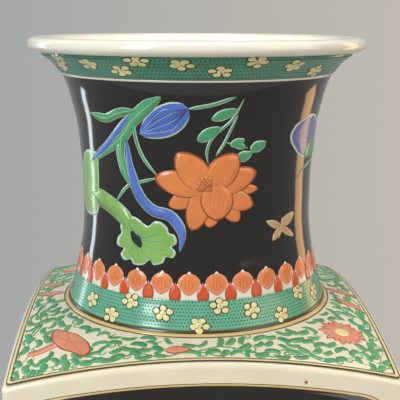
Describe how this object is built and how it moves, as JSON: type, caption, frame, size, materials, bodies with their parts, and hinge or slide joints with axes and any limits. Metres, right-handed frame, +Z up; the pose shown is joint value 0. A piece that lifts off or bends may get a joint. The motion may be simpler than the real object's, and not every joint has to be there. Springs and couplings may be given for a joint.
{
  "type": "square vase",
  "caption": "Tall porcelain vase with a square tapering body, arched shoulder, waisted round neck and rolled lip; holds flowers or stands as an ornament.",
  "frame": {"origin": "centre of the foot's resting plane", "axes": "+Z up along the neck's axis, front wall facing -Y, +X to the viewer's right"},
  "size_m": [0.1756, 0.1756, 0.5],
  "materials": {
    "bare_clay": "unglazed",
    "black_glaze": "gloss",
    "cream_glaze": "gloss",
    "yellow_glaze": "gloss"
  },
  "bodies": {
    "root": {"foot_front": "bare_clay", "foot_right": "bare_clay", "foot_back": "bare_clay", "foot_left": "bare_clay", "floor_slab": "bare_clay", "wall_front": "black_glaze", "wall_right": "black_glaze", "wall_back": "black_glaze", "wall_left": "black_glaze", "corner_coil_front_right": "bare_clay", "corner_coil_back_right": "bare_clay", "corner_coil_back_left": "bare_clay", "corner_coil_front_left": "bare_clay", "shoulder_slab": "cream_glaze", "neck": "black_glaze", "neck_ring": "yellow_glaze", "lip_roll": "cream_glaze"}
  },
  "joints": []
}
